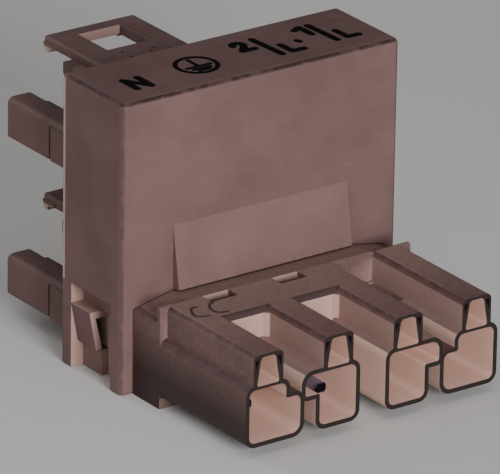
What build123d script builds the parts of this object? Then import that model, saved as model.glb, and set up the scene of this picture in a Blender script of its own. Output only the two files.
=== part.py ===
from build123d import *
import os

os.makedirs("parts", exist_ok=True)

# A four-pole splitter connector for installation wiring. One plug points forward, and two
# sockets, one above the other, point back. A strip of brass for each pole joins the three.
# Millimetres. X runs across the poles, Y from the plug to the sockets, Z up.

# Poles
pole_pitch = 10.0
pole_names = ["neutral", "earth", "line2", "line1"]
socket_step = 20.3        # from the lower socket up to the upper one
contact_z = 4.65          # height of the lowest row of contacts

# Cover
cover_depth = 11.8
cover_height = 36.9
cover_wall = 1.2
cover_side = 1.8          # from the end tubes out to the cover's sides
cover_round = 0.7
leg_depth = 2.2           # the front legs that reach down beside the block
leg_height = 11.0
leg_round = 0.4
panel_width = 25.2        # raised ramp on the front, above the deck
panel_top = 20.3
panel_proud = 1.3

# Plug: one tube for each pole, each with a hood on top
plug_reach = 22.8
tube_depth = 16.6
tube_half = 2.6           # half the width inside
tube_wall = 0.55
tube_floor_z = 1.8
tube_roof_z = 8.5
low_lobe_top = 6.5
high_lobe_bottom = 5.9
lobe_wall = 0.7           # between the side lobes of two tubes
tube_round = 0.8
lobe_round = 1.1
step_round = 0.3          # in the corners where a lobe begins
hood_half = 2.1
hood_top_z = 12.8
hood_round = 0.7
hood_roof = 0.35
slot_bottom = 1.6         # half widths of the tapered slot in a hood
slot_top = 1.0
slot_depth = 15.0
slot_floor = 0.35         # between a slot and the tube below it
pocket_width = 0.5        # small core-outs beside the slot
pocket_height = 1.4
pocket_depth = 3.0
pocket_wall = 0.3
slot_round = 0.5

# Plug: the block that the tubes stand on, and the deck between the hoods
base_reach = 5.4
base_top_side = 10.8      # top of the block at its ends
base_top_mid = 11.95
base_bevel_x = 12.7       # where the ends begin to slope down
deck_ramp = 4.9           # the deck slopes down over this length to the cover
deck_reach = 11.4
deck_round = 0.75
end_rib = 0.6
corner_web = 0.6
latch_slot_width = 3.8
latch_slot_length = 2.0
latch_slot_depth = 3.0
catch_arm_length = 3.9    # sprung arms low on the block's sides, leaning inward as they go down
catch_arm_bottom = 3.4
catch_arm_top = 8.4
catch_arm_thick = 0.9
catch_arm_lean = 1.0
side_pocket = 1.0         # how deep the block's sides are cored out round the arms

# Sockets
flange = 1.35
finger_round = 0.8
finger_wall = 0.8
pad_reach = 7.0           # thicker beginning of the outer fingers, on the outside
pad_proud = 0.15
pad_groove = 0.5
pad_groove_depth = 0.25
rim = 0.25                # behind the cover's edge, as wide as the cover
foot_round = 0.4

# Latch plates
plate_width = 13.0
plate_thick = 1.2
plate_round = 0.4
window_width = 6.0
window_length = 6.2
window_back = 2.2         # from the window to the end of the plate
catch_length = 1.2
catch_tip = 0.6
catch_drop = 0.7
catch_lead = 1.5          # thickening of the plate before a catch
guide_slope = 3.5
guide_drop = 1.4          # straight part of a guide's end, under the plate

# Contacts
bar_width = 3.2
bar_thick = 0.8
bar_round = 0.8
bar_margin = 2.0          # below the lowest contact and above the highest
bar_setback = 4.4         # from the cover's front
pin_width = 1.7
pin_height = 1.2
pin_round = 0.4
pin_tip = 0.25            # chamfer round the pin's end
pin_shoulder = 0.8
pin_shoulder_rim = 0.4
pin_inset = {"neutral": 4.2, "earth": 3.3, "line2": 5.4, "line1": 5.4}
rivet_radius = 0.45
rivet_head = 0.7
rivet_head_thick = 0.3
clip_width = 2.2
clip_height = 2.6
clip_sheet = 0.4
clip_pinch = 0.5          # half the gap where the leaves grip
clip_pinch_length = 3.0
clip_mouth = 0.8

# Clearances
slide_fit = 0.1
contact_fit = 0.15
cover_fit = 0.2
plate_fit = 0.3           # under a latch plate, over the plug that mates
guide_fit = 0.1           # beside a guide, between the hoods of the plug that mates
end_fit = 0.3             # at the end of what goes into a plug
finger_side_fit = 0.4
finger_lobe_fit = 1.0
finger_low_fit = 1.0
finger_top_fit = 0.7
finger_flat_fit = 1.1     # on the side of an outer finger that has the low lobe
mouth_fit = 0.35          # round the pin, where it enters a finger

# Where things stand along X
pole_count = len(pole_names)
pole_x = [pole_pitch * (i - (pole_count - 1) / 2) for i in range(pole_count)]
neutral_x, earth_x, line2_x, line1_x = pole_x
lobe_reach = (pole_pitch - lobe_wall) / 2
base_half = line1_x + tube_half + tube_wall
cover_half = base_half + cover_side
inner_half = cover_half - cover_wall

# Where things stand along Z
tube_bottom_z = tube_floor_z - tube_wall
tube_top_z = tube_roof_z + tube_wall
plate_bottom_z = hood_top_z + plate_fit
plate_top_z = plate_bottom_z + plate_thick
bar_bottom_z = contact_z - bar_margin
finger_bottom_z = tube_floor_z + finger_low_fit
finger_top_z = tube_roof_z - finger_top_fit

# Where things stand along Y: the part's box is centred on the origin
finger_reach = tube_depth - end_fit
guide_reach = plug_reach - deck_reach - end_fit
catch_start = plug_reach - deck_ramp - latch_slot_length + slide_fit
latch_reach = catch_start + catch_length
plug_end = -(plug_reach + cover_depth + latch_reach) / 2
face_y = plug_end + plug_reach
back_y = face_y + cover_depth
latch_end = back_y + latch_reach
finger_end = back_y + finger_reach
flange_front = back_y - flange
base_front = face_y - base_reach
deck_flat_y = face_y - deck_ramp
deck_front = face_y - deck_reach
tube_end_y = plug_end + tube_depth
bar_front = face_y + bar_setback
bar_back = bar_front + bar_thick


def facing_front(y):
    """A plane across the part at y: its X is the part's X, its Y is the part's Z."""
    return Plane.XZ.offset(-y)


def place(section, x, flip=False):
    """A section at a pole, turned left to right for the two lines."""
    return Pos(x, 0) * (section.mirror(Plane.YZ) if flip else section)


# Sections of the tubes, on the inside. The neutral's side lobe is low and the earth's high,
# so that no tube takes the finger of another pole. The lines mirror them.

with BuildSketch() as low_tube:
    Polygon(
        (-tube_half, tube_floor_z), (lobe_reach, tube_floor_z), (lobe_reach, low_lobe_top),
        (tube_half, low_lobe_top), (tube_half, tube_roof_z), (-tube_half, tube_roof_z),
        align=None,
    )
    fillet(low_tube.vertices().sort_by_distance((tube_half, low_lobe_top))[0], step_round)
    fillet(low_tube.vertices().sort_by_distance((lobe_reach, tube_floor_z))[0], lobe_round)
    fillet(low_tube.vertices().group_by(Axis.Y)[-1], tube_round)
    fillet(low_tube.vertices().sort_by_distance((-tube_half, tube_floor_z))[0], tube_round)
    fillet(low_tube.vertices().sort_by_distance((lobe_reach, low_lobe_top))[0], tube_round)

with BuildSketch() as high_tube:
    Polygon(
        (-tube_half, tube_floor_z), (tube_half, tube_floor_z), (tube_half, tube_roof_z),
        (-lobe_reach, tube_roof_z), (-lobe_reach, high_lobe_bottom), (-tube_half, high_lobe_bottom),
        align=None,
    )
    fillet(high_tube.vertices().sort_by_distance((-tube_half, high_lobe_bottom))[0], step_round)
    fillet(high_tube.vertices().sort_by_distance((-lobe_reach, tube_roof_z))[0], lobe_round)
    fillet(high_tube.vertices().sort_by_distance((tube_half, tube_roof_z))[0], tube_round)
    fillet(high_tube.vertices().sort_by_distance((-lobe_reach, high_lobe_bottom))[0], step_round)
    fillet(high_tube.vertices().group_by(Axis.Y)[0], tube_round)

with BuildSketch() as low_tube_outer:
    add(low_tube.sketch)
    offset(amount=tube_wall, kind=Kind.INTERSECTION)

with BuildSketch() as high_tube_outer:
    add(high_tube.sketch)
    offset(amount=tube_wall, kind=Kind.INTERSECTION)

with BuildSketch() as hood:
    with Locations((0, tube_roof_z)):
        Rectangle(2 * hood_half, hood_top_z - tube_roof_z, align=(Align.CENTER, Align.MIN))
    fillet(hood.vertices().group_by(Axis.Y)[-1], hood_round)

slot_top_z = hood_top_z - hood_roof
slot_bottom_z = tube_roof_z + slot_floor
with BuildSketch() as hood_slot:
    Polygon(
        (-slot_bottom, slot_bottom_z), (slot_bottom, slot_bottom_z),
        (slot_top, slot_top_z), (-slot_top, slot_top_z),
        align=None,
    )
    fillet(hood_slot.vertices().group_by(Axis.Y)[-1], slot_round)
    fillet(hood_slot.vertices().group_by(Axis.Y)[0], pocket_wall)

pocket_edge = slot_top + pocket_wall
pocket_top = slot_top_z - pocket_wall
with BuildSketch() as hood_pocket:
    Polygon(
        (pocket_edge, pocket_top), (pocket_edge + pocket_width, pocket_top),
        (pocket_edge + pocket_width, pocket_top - pocket_height),
        align=None,
    )
    mirror(about=Plane.YZ)


# Plug housing: block, tubes, hoods and deck are one moulding

block_outline = [
    (-base_half, 0), (base_half, 0), (base_half, base_top_side), (base_bevel_x, base_top_mid),
    (-base_bevel_x, base_top_mid), (-base_half, base_top_side),
]
head_outline = [(x, hood_top_z if z == base_top_mid else z) for x, z in block_outline]

with BuildPart() as plug_head:
    with BuildSketch(facing_front(face_y)):
        Polygon(*block_outline, align=None)
    with BuildSketch(facing_front(deck_flat_y)):
        Polygon(*head_outline, align=None)
    loft(ruled=True)
    with BuildSketch(facing_front(deck_flat_y)):
        Rectangle(2 * base_half, tube_top_z, align=(Align.CENTER, Align.MIN))
    extrude(amount=deck_flat_y - base_front)

with BuildPart() as plug_housing:
    add(plug_head.part)
    # The block inside the cover
    with BuildSketch(facing_front(flange_front)):
        Polygon(*block_outline, align=None)
    extrude(amount=flange_front - face_y)
    # Tubes with their hoods
    with BuildSketch(facing_front(deck_flat_y)):
        add(place(low_tube_outer.sketch, neutral_x))
        add(place(high_tube_outer.sketch, earth_x))
        add(place(high_tube_outer.sketch, line2_x, flip=True))
        add(place(low_tube_outer.sketch, line1_x, flip=True))
        for x in pole_x:
            add(place(hood.sketch, x))
    extrude(amount=deck_flat_y - plug_end)
    # The deck between the first three hoods, with a rounded front edge
    for start_x, bottom in ((neutral_x, low_lobe_top), (earth_x, tube_bottom_z)):
        with BuildSketch(Plane.YZ.offset(start_x)) as deck:
            Polygon(
                (deck_flat_y, bottom), (deck_flat_y, hood_top_z),
                (deck_front, hood_top_z), (deck_front, bottom),
                align=None,
            )
            fillet(deck.vertices().sort_by_distance((deck_front, hood_top_z))[0], deck_round)
        extrude(amount=pole_pitch)
    # Webs in the corners between the deck's front and the hoods
    with BuildSketch(Plane.XY.offset(tube_top_z)):
        for x, side in ((neutral_x, 1), (earth_x, -1), (earth_x, 1), (line2_x, -1)):
            hood_side = x + side * hood_half
            Polygon(
                (hood_side, deck_front), (hood_side + side * corner_web, deck_front),
                (hood_side, deck_front - corner_web),
                align=None,
            )
    extrude(amount=hood_top_z - deck_round - tube_top_z)
    # Ribs at the ends of the deck, beside the outer hoods
    with BuildSketch(facing_front(base_front + end_rib)):
        for x in (base_half - hood_half / 2, hood_half / 2 - base_half):
            with Locations((x, tube_roof_z)):
                Rectangle(hood_half, hood_top_z - tube_roof_z, align=(Align.CENTER, Align.MIN))
    extrude(amount=end_rib)
    # Sprung arms in the cover's open sides, and the core-outs round them
    arm_front = flange_front - catch_arm_length
    arm_core_bottom = catch_arm_bottom - slide_fit
    for start_y, length, bottom in (
        (face_y + leg_depth, arm_front - face_y - leg_depth, 0),
        (arm_front, catch_arm_length, arm_core_bottom),
    ):
        with BuildSketch(Plane.XY.offset(bottom)):
            for side in (-1, 1):
                with Locations((side * base_half, start_y)):
                    Rectangle(2 * side_pocket, length, align=(Align.CENTER, Align.MIN))
        extrude(amount=catch_arm_top - bottom, mode=Mode.SUBTRACT)
    with BuildSketch(facing_front(flange_front)):
        for side in (-1, 1):
            Polygon(
                (side * cover_half, catch_arm_top), (side * (cover_half - catch_arm_lean), catch_arm_bottom),
                (side * (cover_half - catch_arm_lean - catch_arm_thick), catch_arm_bottom),
                (side * (cover_half - catch_arm_thick), catch_arm_top - catch_arm_thick),
                (side * (base_half - side_pocket - slide_fit), catch_arm_top - catch_arm_thick),
                (side * (base_half - side_pocket - slide_fit), catch_arm_top),
                align=None,
            )
    extrude(amount=catch_arm_length)
    # What is hollow: the tubes, the slots in the hoods and the core-outs beside them
    with BuildSketch(facing_front(tube_end_y)):
        add(place(low_tube.sketch, neutral_x))
        add(place(high_tube.sketch, earth_x))
        add(place(high_tube.sketch, line2_x, flip=True))
        add(place(low_tube.sketch, line1_x, flip=True))
    extrude(amount=tube_depth, mode=Mode.SUBTRACT)
    with BuildSketch(facing_front(plug_end + slot_depth)):
        for x in pole_x:
            add(place(hood_slot.sketch, x))
    extrude(amount=slot_depth, mode=Mode.SUBTRACT)
    with BuildSketch(facing_front(plug_end + pocket_depth)):
        for x in pole_x:
            add(place(hood_pocket.sketch, x))
    extrude(amount=pocket_depth, mode=Mode.SUBTRACT)
    # Slots in the deck for the catches of a socket that mates
    with BuildSketch(Plane.XY.offset(hood_top_z)):
        with Locations(*[(earth_x + side * pole_pitch / 2, deck_flat_y) for side in (-1, 1)]):
            Rectangle(latch_slot_width, latch_slot_length, align=(Align.CENTER, Align.MAX))
    extrude(amount=-latch_slot_depth, mode=Mode.SUBTRACT)
    # Channels for the brass strips, open to the rear and the top
    with BuildSketch(Plane.XY.offset(bar_bottom_z)):
        with Locations(*[(x, bar_front) for x in pole_x]):
            Rectangle(bar_width + 2 * contact_fit, flange_front - bar_front, align=(Align.CENTER, Align.MIN))
    extrude(amount=hood_top_z - bar_bottom_z, mode=Mode.SUBTRACT)
    # Holes for the pins, stepped for their shoulders
    for rim, length in ((0, bar_front - tube_end_y), (pin_shoulder_rim, pin_shoulder + slide_fit)):
        with BuildSketch(facing_front(bar_front)):
            with Locations(*[(x, contact_z) for x in pole_x]):
                Rectangle(pin_width + 2 * (rim + slide_fit), pin_height + 2 * (rim + slide_fit))
        extrude(amount=length, mode=Mode.SUBTRACT)

plug_housing.part.label = "plug_housing"
export_step(plug_housing.part, "parts/plug_housing.step")


# Cover: a box open to the rear and below, cut out round the plug's block

ramp_bottom = base_top_mid + cover_fit
ramp_rate = (hood_top_z - base_top_mid) / deck_ramp
with BuildPart() as cover:
    with BuildSketch(Plane.XY):
        with Locations((0, face_y)):
            Rectangle(2 * cover_half, cover_depth, align=(Align.CENTER, Align.MIN))
    extrude(amount=cover_height)
    fillet(cover.edges().filter_by(Axis.Z).group_by(Axis.Y)[0], cover_round)
    fillet(cover.faces().sort_by(Axis.Z)[-1].edges().sort_by(Axis.Y)[:-1], cover_round)
    # The raised ramp, which ends just above the deck
    with BuildSketch(Plane.YZ.offset(-panel_width / 2)):
        Polygon(
            (face_y + cover_wall, panel_top), (face_y, panel_top),
            (face_y - panel_proud, ramp_bottom + panel_proud * ramp_rate), (face_y, ramp_bottom),
            (face_y + cover_wall, ramp_bottom),
            align=None,
        )
    extrude(amount=panel_width)
    with BuildSketch(Plane.XY):
        with Locations((0, face_y + cover_wall)):
            Rectangle(2 * inner_half, cover_depth, align=(Align.CENTER, Align.MIN))
    extrude(amount=cover_height - cover_wall, mode=Mode.SUBTRACT)
    with BuildSketch(facing_front(face_y + cover_wall)):
        Polygon(*block_outline, align=None)
        offset(amount=slide_fit, kind=Kind.INTERSECTION)
    extrude(amount=2 * cover_wall, mode=Mode.SUBTRACT)
    # Below this height only the legs are left of the side walls
    with BuildSketch(Plane.XY):
        with Locations((0, face_y + leg_depth)):
            Rectangle(3 * cover_half, cover_depth, align=(Align.CENTER, Align.MIN))
    extrude(amount=leg_height, mode=Mode.SUBTRACT)
    # The legs' lower ends are rounded along their sides and their fronts
    leg_edges = cover.edges().group_by(Axis.Z)[0]
    outer_edges = [edge for edge in leg_edges if abs(edge.center().X) > cover_half - cover_round / 2]
    front_edges = leg_edges.filter_by(Axis.X).group_by(Axis.Y)[0]
    fillet(outer_edges + front_edges, leg_round)

cover.part.label = "cover"
export_step(cover.part, "parts/cover.step")


# Sockets: flange, fingers, guides and latch plate are one moulding each

with BuildSketch() as low_finger:
    Polygon(
        (finger_side_fit - tube_half, finger_bottom_z), (lobe_reach - finger_lobe_fit, finger_bottom_z),
        (lobe_reach - finger_lobe_fit, low_lobe_top - finger_side_fit),
        (tube_half - finger_flat_fit, low_lobe_top - finger_side_fit),
        (tube_half - finger_flat_fit, finger_top_z), (finger_side_fit - tube_half, finger_top_z),
        align=None,
    )
    fillet(low_finger.vertices().group_by(Axis.Y)[-1], finger_round)

with BuildSketch() as high_finger:
    Polygon(
        (finger_side_fit - tube_half, finger_bottom_z), (tube_half - finger_side_fit, finger_bottom_z),
        (tube_half - finger_side_fit, finger_top_z), (finger_lobe_fit - lobe_reach, finger_top_z),
        (finger_lobe_fit - lobe_reach, high_lobe_bottom + finger_side_fit),
        (finger_side_fit - tube_half, high_lobe_bottom + finger_side_fit),
        align=None,
    )
    fillet(high_finger.vertices().group_by(Axis.Y)[-1], finger_round)

with BuildSketch() as fingers:
    add(place(low_finger.sketch, neutral_x))
    add(place(high_finger.sketch, earth_x))
    add(place(high_finger.sketch, line2_x, flip=True))
    add(place(low_finger.sketch, line1_x, flip=True))

clip_end = finger_end - finger_wall - end_fit
window_middle = latch_end - window_back - window_length / 2


def socket_housing(level, flange_bottom, flange_top, rim_top, foot_top):
    """One socket. Its lowest level stands at the height called level."""
    inside = inner_half - cover_fit
    guides = (
        (neutral_x + hood_half + guide_fit, earth_x - hood_half - guide_fit),
        (earth_x + hood_half + guide_fit, line2_x - hood_half - guide_fit),
    )
    with BuildPart() as housing:
        with BuildSketch(Plane.XY.offset(flange_bottom)):
            with Locations((0, flange_front)):
                Rectangle(2 * inside, flange, align=(Align.CENTER, Align.MIN))
        extrude(amount=flange_top - flange_bottom)
        # A rim closes the cover's edge from behind
        with BuildSketch(facing_front(back_y + rim)) as rim_face:
            with Locations((0, flange_bottom)):
                Rectangle(2 * cover_half, rim_top - flange_bottom, align=(Align.CENTER, Align.MIN))
            if rim_top > flange_top:
                fillet(rim_face.vertices().group_by(Axis.Y)[-1], cover_round)
        extrude(amount=rim)
        if foot_top > flange_bottom:
            with BuildSketch(Plane.XY.offset(flange_bottom)):
                with Locations((0, flange_front)):
                    Rectangle(2 * cover_half, flange + rim, align=(Align.CENTER, Align.MIN))
            extrude(amount=foot_top - flange_bottom)
            fillet(housing.edges().group_by(Axis.Z)[0].filter_by(Axis.Y), foot_round)
        # Fingers, the outer ones thicker near the flange
        with BuildSketch(facing_front(finger_end)):
            with Locations((0, level)):
                add(fingers.sketch)
        extrude(amount=finger_end - back_y)
        finger_side = base_half - tube_wall - finger_side_fit
        pad_height = finger_top_z - finger_bottom_z - finger_round
        pad_z = level + finger_bottom_z + pad_height / 2
        for start_y, length, proud, mode in (
            (back_y, pad_reach, pad_proud, Mode.ADD),
            (back_y + pad_reach, pad_groove, -pad_groove_depth, Mode.SUBTRACT),
        ):
            with BuildSketch(facing_front(start_y + length)):
                with Locations(*[(side * (finger_side + proud / 2), pad_z) for side in (-1, 1)]):
                    Rectangle(abs(proud), pad_height)
            extrude(amount=length, mode=mode)
        # The latch plate, rounded at its free end, with a window
        with BuildSketch(Plane.XY.offset(level + plate_bottom_z)) as plate:
            with Locations((earth_x, flange_front)):
                Rectangle(plate_width, latch_end - flange_front, align=(Align.CENTER, Align.MIN))
            fillet(plate.vertices().group_by(Axis.Y)[-1], plate_round)
        extrude(amount=plate_thick)
        plate_end = housing.faces().sort_by(Axis.Y)[-1].edges()
        fillet(plate_end.sort_by(Axis.Z)[-1], plate_round)
        # Guides under the plate, which go between the hoods of a plug that mates
        for left, right in guides:
            with BuildSketch(Plane.YZ.offset(left)):
                Polygon(
                    (flange_front, level + tube_top_z + slide_fit), (flange_front, level + plate_bottom_z),
                    (back_y + guide_reach, level + plate_bottom_z),
                    (back_y + guide_reach, level + plate_bottom_z - guide_drop),
                    (back_y + guide_reach - guide_slope, level + tube_top_z + slide_fit),
                    align=None,
                )
            extrude(amount=right - left)
        # Catches under the plate's end: steep toward the cover, sloping at the free end
        for side in (-1, 1):
            catch_width = latch_slot_width - 2 * plate_fit
            with BuildSketch(Plane.YZ.offset(earth_x + side * pole_pitch / 2 - catch_width / 2)):
                Polygon(
                    (back_y + catch_start - catch_lead, level + plate_bottom_z + plate_round),
                    (back_y + catch_start - catch_lead, level + plate_bottom_z),
                    (back_y + catch_start, level + hood_top_z + slide_fit),
                    (back_y + catch_start, level + plate_bottom_z - catch_drop),
                    (back_y + catch_start + catch_tip, level + plate_bottom_z - catch_drop),
                    (latch_end, level + plate_bottom_z + plate_round),
                    align=None,
                )
            extrude(amount=catch_width)
        with BuildSketch(Plane.XY.offset(level + plate_top_z)):
            with Locations((earth_x, window_middle)):
                Rectangle(window_width, window_length)
        extrude(amount=-2 * plate_thick, mode=Mode.SUBTRACT)
        # Room for the clips, from the front of the flange to the fingers' end walls
        with BuildSketch(facing_front(finger_end - finger_wall)):
            with Locations(*[(x, level + contact_z) for x in pole_x]):
                Rectangle(clip_width + 2 * contact_fit, clip_height + 2 * contact_fit)
        extrude(amount=finger_end - finger_wall - flange_front, mode=Mode.SUBTRACT)
        with BuildSketch(facing_front(finger_end)):
            with Locations(*[(x, level + contact_z) for x in pole_x]):
                Rectangle(pin_width + 2 * mouth_fit, pin_height + 2 * mouth_fit)
        extrude(amount=2 * finger_wall, mode=Mode.SUBTRACT)
    return housing.part


lower_socket = socket_housing(0, 0, socket_step, socket_step, leg_height)
lower_socket.label = "lower_socket_housing"
export_step(lower_socket, "parts/lower_socket_housing.step")

upper_flange_top = cover_height - cover_wall - slide_fit
upper_socket = socket_housing(socket_step, socket_step, upper_flange_top, cover_height, 0)
upper_socket.label = "upper_socket_housing"
export_step(upper_socket, "parts/upper_socket_housing.step")


# Strips, pins and clips. A pin, its strip and the lower clip are held by the pin's stub; the
# upper clip by a stub of the strip itself. Both stubs are headed over inside the clip.

for name, x in zip(pole_names, pole_x):
    with BuildPart() as busbar:
        with BuildSketch(facing_front(bar_back)) as strip:
            with Locations((x, contact_z + socket_step / 2)):
                Rectangle(bar_width, socket_step + 2 * bar_margin)
            fillet(strip.vertices(), bar_round)
            with Locations((x, contact_z)):
                Circle(rivet_radius, mode=Mode.SUBTRACT)
        extrude(amount=bar_thick)
        for radius, start, length in (
            (rivet_radius, bar_back, clip_sheet), (rivet_head, bar_back + clip_sheet, rivet_head_thick)
        ):
            with BuildSketch(facing_front(start + length)):
                with Locations((x, contact_z + socket_step)):
                    Circle(radius)
            extrude(amount=length)
    busbar.part.label = name + "_busbar"
    export_step(busbar.part, "parts/" + name + "_busbar.step")

    tip_y = plug_end + pin_inset[name]
    with BuildPart() as pin:
        with BuildSketch(facing_front(bar_front)) as blade:
            with Locations((x, contact_z)):
                Rectangle(pin_width, pin_height)
            fillet(blade.vertices(), pin_round)
        extrude(amount=bar_front - tip_y)
        chamfer(pin.faces().sort_by(Axis.Y)[0].edges(), pin_tip)
        with BuildSketch(facing_front(bar_front)):
            with Locations((x, contact_z)):
                Rectangle(pin_width + 2 * pin_shoulder_rim, pin_height + 2 * pin_shoulder_rim)
        extrude(amount=pin_shoulder)
        for radius, start, length in (
            (rivet_radius, bar_front, bar_thick + clip_sheet),
            (rivet_head, bar_back + clip_sheet, rivet_head_thick),
        ):
            with BuildSketch(facing_front(start + length)):
                with Locations((x, contact_z)):
                    Circle(radius)
            extrude(amount=length)
    pin.part.label = name + "_pin"
    export_step(pin.part, "parts/" + name + "_pin.step")

    for level_name, level in (("lower", 0), ("upper", socket_step)):
        middle = level + contact_z
        half = clip_height / 2
        leaf = [
            (bar_back, half), (clip_end - 2 * clip_pinch_length, half),
            (clip_end - clip_mouth, clip_pinch + clip_sheet), (clip_end, half - clip_sheet / 2),
        ]
        inner_leaf = [(y, z - clip_sheet) for y, z in reversed(leaf)]
        inner_leaf[-1] = (bar_back + clip_sheet, half - clip_sheet)
        upper_half = leaf + inner_leaf
        lower_half = [(y, -z) for y, z in reversed(upper_half)]
        with BuildPart() as clip:
            with BuildSketch(Plane.YZ.offset(x - clip_width / 2)):
                Polygon(*[(y, middle + z) for y, z in upper_half + lower_half], align=None)
            extrude(amount=clip_width)
            with BuildSketch(facing_front(bar_back + clip_sheet)):
                with Locations((x, middle)):
                    Circle(rivet_radius)
            extrude(amount=clip_sheet, mode=Mode.SUBTRACT)
        clip.part.label = name + "_" + level_name + "_clip"
        export_step(clip.part, "parts/" + name + "_" + level_name + "_clip.step")
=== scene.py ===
import bpy
import bmesh
import math
from mathutils import Matrix, Vector


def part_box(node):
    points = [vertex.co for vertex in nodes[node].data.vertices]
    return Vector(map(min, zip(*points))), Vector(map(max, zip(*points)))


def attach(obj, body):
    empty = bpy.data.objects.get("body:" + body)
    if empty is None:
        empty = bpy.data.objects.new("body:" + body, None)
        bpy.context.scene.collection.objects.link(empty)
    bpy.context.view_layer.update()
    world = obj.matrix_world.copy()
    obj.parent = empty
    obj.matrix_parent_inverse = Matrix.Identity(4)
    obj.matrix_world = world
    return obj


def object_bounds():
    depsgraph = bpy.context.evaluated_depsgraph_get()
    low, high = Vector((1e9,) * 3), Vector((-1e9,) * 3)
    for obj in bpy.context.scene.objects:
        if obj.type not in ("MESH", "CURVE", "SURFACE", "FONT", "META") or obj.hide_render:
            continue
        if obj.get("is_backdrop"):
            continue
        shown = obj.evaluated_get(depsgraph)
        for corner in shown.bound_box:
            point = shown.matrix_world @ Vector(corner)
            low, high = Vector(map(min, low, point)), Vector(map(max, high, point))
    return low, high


# %% [markdown]
# # A four-pole splitter connector
# One plug at the front feeds two sockets at the back, so that a lighting circuit can branch without a
# screwdriver. The solid shapes come from CAD. This scene gives them their plastic and metal, adds the
# printed marks and the small traces of moulding, and lights them like the photo.

# %% Load the model and note its size
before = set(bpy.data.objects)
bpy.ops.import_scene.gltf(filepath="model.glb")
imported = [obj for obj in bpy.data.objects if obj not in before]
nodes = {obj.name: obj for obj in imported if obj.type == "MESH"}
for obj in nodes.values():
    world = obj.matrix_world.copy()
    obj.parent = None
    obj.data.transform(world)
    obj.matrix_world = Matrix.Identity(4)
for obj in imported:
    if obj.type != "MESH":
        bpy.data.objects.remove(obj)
size_at_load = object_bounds()
MM = 0.001
print("pieces:", len(nodes), "size in mm:", [round(v / MM, 2) for v in size_at_load[1] - size_at_load[0]])

# %% [markdown]
# The drawing of this part is in millimetres and Blender works in metres. The small factor MM keeps
# every number below readable as a millimetre. Where a CAD piece has an edge to measure from, its box
# gives the place, and the other places are counted from there.

# %% Places that the steps below share
PLUG_REACH = 22.8
COVER_DEPTH = 11.8
DECK_REACH = 11.4
DECK_RAMP = 4.9
BLOCK_REACH = 5.4
DECK_Z = 12.8
LEG_DEPTH = 2.2
SOCKET_LEVELS = {"lower": 0.0, "upper": 20.3}
TOP_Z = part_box("cover")[1].z / MM
PLUG_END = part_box("plug_housing")[0].y / MM
FACE_Y = PLUG_END + PLUG_REACH
BACK_Y = FACE_Y + COVER_DEPTH
DECK_FRONT = FACE_Y - DECK_REACH
DECK_FLAT = FACE_Y - DECK_RAMP
BLOCK_FRONT = FACE_Y - BLOCK_REACH
print("top of the cover:", round(TOP_Z, 2), "mm, front of the cover:", round(FACE_Y, 2), "mm")

# %% [markdown]
# A finish is a small graph of nodes that ends in a shader. It could be built by hand in the shader
# editor. Written as code it can be read, repeated and changed in one place. The first two helpers start
# a graph and put a value into it.

# %% Start a finish
def new_finish(name):
    """A material with an empty graph, its shader and its position input."""
    material = bpy.data.materials.new(name)
    material.use_nodes = True
    tree = material.node_tree
    tree.nodes.clear()
    shader = tree.nodes.new("ShaderNodeBsdfPrincipled")
    out = tree.nodes.new("ShaderNodeOutputMaterial")
    tree.links.new(shader.outputs["BSDF"], out.inputs["Surface"])
    where = tree.nodes.new("ShaderNodeTexCoord").outputs["Object"]
    return material, tree, shader, where


def feed(tree, socket, value):
    """A socket takes a wire from another node or a plain value."""
    if isinstance(value, bpy.types.NodeSocket):
        tree.links.new(value, socket)
    else:
        socket.default_value = value


print("ready to start a finish: new_finish, feed")

# %% [markdown]
# The next helpers each add one node, wire it up and return its output. With them a recipe reads as a
# list of what happens to the surface: a sum, a mix of two colours, a range that is stretched.

# %% Sums, mixes and ranges
COLOUR_A, COLOUR_B, MIXED_COLOUR = 6, 7, 2    # places of the colour sockets on a mix node


def maths(tree, kind, a, b=0.0):
    """One sum on two values."""
    node = tree.nodes.new("ShaderNodeMath")
    node.operation = kind
    feed(tree, node.inputs[0], a)
    feed(tree, node.inputs[1], b)
    return node.outputs[0]


def times(tree, first, *others):
    """Several values multiplied, so masks ask for all their places at once."""
    for one in others:
        first = maths(tree, "MULTIPLY", first, one)
    return first


def blend(tree, amount, a, b):
    """A colour between a and b."""
    node = tree.nodes.new("ShaderNodeMix")
    node.data_type = "RGBA"
    feed(tree, node.inputs[0], amount)
    feed(tree, node.inputs[COLOUR_A], a)
    feed(tree, node.inputs[COLOUR_B], b)
    return node.outputs[MIXED_COLOUR]


def between(tree, value, low, high):
    """Value stretched so that low gives 0 and high gives 1."""
    node = tree.nodes.new("ShaderNodeMapRange")
    feed(tree, node.inputs["Value"], value)
    node.inputs["From Min"].default_value = low
    node.inputs["From Max"].default_value = high
    return node.outputs[0]


print("ready to calculate: maths, times, blend, between")

# %% [markdown]
# No moulded surface is quite even. A noise node gives soft clouds that have no seams, because it is
# worked out from the place of a point and needs no unwrapping. Fine relief comes from a bump, and a
# bevel node makes the light see sharp CAD edges as slightly rounded, without more faces.

# %% Clouds and fine relief
BEVEL_SAMPLES = 4


def noise(tree, where, per_mm, detail=2.0, stretch=(1, 1, 1)):
    """Cloudy values from 0 to 1. per_mm says how many clouds fit in a millimetre."""
    scale = tree.nodes.new("ShaderNodeMapping")
    feed(tree, scale.inputs["Vector"], where)
    scale.inputs["Scale"].default_value = [s * per_mm / MM for s in stretch]
    node = tree.nodes.new("ShaderNodeTexNoise")
    feed(tree, node.inputs["Vector"], scale.outputs[0])
    node.inputs["Scale"].default_value = 1.0
    node.inputs["Detail"].default_value = detail
    return node.outputs[0]


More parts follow.
